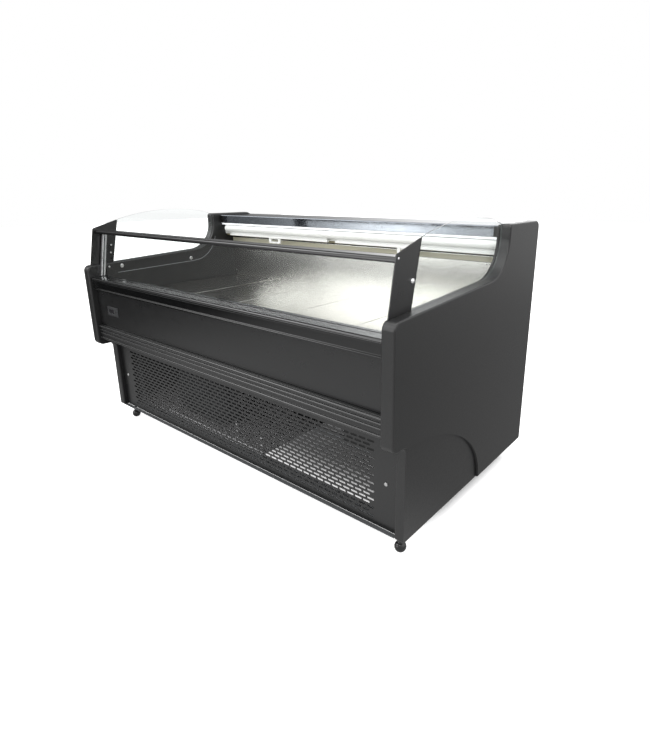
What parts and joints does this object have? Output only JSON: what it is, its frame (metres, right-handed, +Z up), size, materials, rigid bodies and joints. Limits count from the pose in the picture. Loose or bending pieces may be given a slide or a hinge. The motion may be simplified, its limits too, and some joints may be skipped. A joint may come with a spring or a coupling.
{
  "type": "refrigerated deli display case",
  "caption": "Low open refrigerated deli case with moulded end panels, leaning front glass, stainless deck, pull-out night blinds and a perforated kick grille.",
  "frame": {"origin": "on the floor under the centre of the footprint", "axes": "+X along the case towards the customer's right, -Y towards the customer, +Z up"},
  "size_m": [1.9, 1.06, 1.1215],
  "materials": {
    "panel_black": "fine-textured moulded black plastic",
    "painted_black": "satin black powder coat",
    "gloss_black": "polished black",
    "stainless": "brushed stainless sheet",
    "galvanised": "galvanised sheet, dull bright",
    "aluminium": "satin anodised aluminium",
    "chrome": "polished chrome",
    "white": "white lacquer, semi gloss",
    "grey_sheet": "satin grey paint",
    "glass": "clear toughened glass",
    "copper": "drawn copper tube, lightly dulled",
    "rubber": "black rubber, matt",
    "tub_skin": "dark grey coated sheet over insulating foam",
    "olive": "olive plastic honeycomb"
  },
  "bodies": {
    "root": {"end_panel_left": "panel_black", "end_panel_right": "panel_black", "inner_liner_left": "panel_black", "inner_liner_right": "panel_black", "side_glass_left": "glass", "side_glass_right": "glass", "front_glass": "glass", "glass_bracket_left": "painted_black", "glass_bracket_right": "painted_black", "front_bumper": "painted_black", "front_fascia": "painted_black", "lower_trim": "painted_black", "base_frame": "painted_black", "compressor": "painted_black", "rear_louvre_panel": "painted_black", "glass_channel_left": "aluminium", "glass_channel_right": "aluminium", "evaporator_coil": "aluminium", "condenser_coil": "aluminium", "front_glass_top_rail": "gloss_black", "canopy_cover": "gloss_black", "insulated_tub": "tub_skin", "rear_wall_liner": "stainless", "air_discharge_honeycomb": "olive", "canopy_liner": "white", "led_strip": "white", "blind_cassette_left": "white", "blind_cassette_right": "white", "controller_bezel": "grey_sheet", "fan_shroud": "grey_sheet", "drain_pipe": "grey_sheet", "evaporator_fan_motor_left": "rubber", "evaporator_fan_motor_right": "rubber", "condenser_fan_motor": "rubber", "evaporator_fan_plate": "galvanised", "compartment_floor": "galvanised", "suction_pipe": "copper"},
    "grille": {"front_grille": "painted_black", "grille_screw_left": "chrome", "grille_screw_right": "chrome"},
    "pan_1": {"deck_pan_1": "stainless"},
    "pan_2": {"deck_pan_2": "stainless"},
    "pan_3": {"deck_pan_3": "stainless"},
    "pan_4": {"deck_pan_4": "stainless"},
    "pan_5": {"deck_pan_5": "stainless"},
    "blind_bar_left": {"blind_pull_bar_left": "white"},
    "roller_left": {"blind_roller_left": "white"},
    "blind_bar_right": {"blind_pull_bar_right": "white"},
    "roller_right": {"blind_roller_right": "white"},
    "button_set": {"button_set": "rubber"},
    "button_down": {"button_down": "rubber"},
    "button_up": {"button_up": "rubber"},
    "condenser_fan": {"condenser_fan": "painted_black"},
    "evaporator_fan_left": {"evaporator_fan_left": "painted_black"},
    "evaporator_fan_right": {"evaporator_fan_right": "painted_black"},
    "tray": {"condensate_tray": "panel_black"},
    "foot_front_left": {"levelling_foot_front_left": "rubber"},
    "foot_front_right": {"levelling_foot_front_right": "rubber"},
    "foot_rear_left": {"levelling_foot_rear_left": "rubber"},
    "foot_rear_right": {"levelling_foot_rear_right": "rubber"}
  },
  "joints": [
    {"name": "grille_lift_off", "type": "slide", "parent": "root", "child": "grille", "axis": [0, -1, 0], "range_m": [0, 0.15]},
    {"name": "deck_pan_1_lift", "type": "slide", "parent": "root", "child": "pan_1", "axis": [0, 0, 1], "range_m": [0, 0.11]},
    {"name": "deck_pan_2_lift", "type": "slide", "parent": "root", "child": "pan_2", "axis": [0, 0, 1], "range_m": [0, 0.11]},
    {"name": "deck_pan_3_lift", "type": "slide", "parent": "root", "child": "pan_3", "axis": [0, 0, 1], "range_m": [0, 0.11]},
    {"name": "deck_pan_4_lift", "type": "slide", "parent": "root", "child": "pan_4", "axis": [0, 0, 1], "range_m": [0, 0.11]},
    {"name": "deck_pan_5_lift", "type": "slide", "parent": "root", "child": "pan_5", "axis": [0, 0, 1], "range_m": [0, 0.11]},
    {"name": "blind_left_pull", "type": "slide", "parent": "root", "child": "blind_bar_left", "axis": [0, -0.9985, 0.0555], "range_m": [0, 0.69]},
    {"name": "blind_left_roller", "type": "hinge", "parent": "root", "child": "roller_left", "pos_m": [0, 0.2975, 1.0005], "axis": [1, 0, 0], "range_deg": [-3170, 0]},
    {"name": "blind_right_pull", "type": "slide", "parent": "root", "child": "blind_bar_right", "axis": [0, -0.9985, 0.0555], "range_m": [0, 0.69]},
    {"name": "blind_right_roller", "type": "hinge", "parent": "root", "child": "roller_right", "pos_m": [0, 0.2975, 1.0005], "axis": [1, 0, 0], "range_deg": [-3170, 0]},
    {"name": "button_set_press", "type": "slide", "parent": "root", "child": "button_set", "axis": [0, 1, 0], "range_m": [0, 0.001]},
    {"name": "button_down_press", "type": "slide", "parent": "root", "child": "button_down", "axis": [0, 1, 0], "range_m": [0, 0.001]},
    {"name": "button_up_press", "type": "slide", "parent": "root", "child": "button_up", "axis": [0, 1, 0], "range_m": [0, 0.001]},
    {"name": "condenser_fan_spin", "type": "hinge", "parent": "root", "child": "condenser_fan", "pos_m": [-0.355, -0.228, 0.268], "axis": [0, 1, 0], "continuous": true},
    {"name": "evaporator_fan_left_spin", "type": "hinge", "parent": "root", "child": "evaporator_fan_left", "pos_m": [-0.36, -0.028, 0.65], "axis": [0, 1, 0], "continuous": true},
    {"name": "evaporator_fan_right_spin", "type": "hinge", "parent": "root", "child": "evaporator_fan_right", "pos_m": [0.36, -0.028, 0.65], "axis": [0, 1, 0], "continuous": true},
    {"name": "condensate_tray_slide", "type": "slide", "parent": "root", "child": "tray", "axis": [0, -1, 0], "range_m": [0, 0.22]},
    {"name": "foot_front_left_screw", "type": "slide", "parent": "root", "child": "foot_front_left", "axis": [0, 0, -1], "range_m": [-0.015, 0.02]},
    {"name": "foot_front_right_screw", "type": "slide", "parent": "root", "child": "foot_front_right", "axis": [0, 0, -1], "range_m": [-0.015, 0.02]},
    {"name": "foot_rear_left_screw", "type": "slide", "parent": "root", "child": "foot_rear_left", "axis": [0, 0, -1], "range_m": [-0.015, 0.02]},
    {"name": "foot_rear_right_screw", "type": "slide", "parent": "root", "child": "foot_rear_right", "axis": [0, 0, -1], "range_m": [-0.015, 0.02]}
  ],
  "couplings": [
    {"joint": "blind_left_roller", "follows": "blind_left_pull", "rad_per_m": -80},
    {"joint": "blind_right_roller", "follows": "blind_right_pull", "rad_per_m": -80}
  ]
}
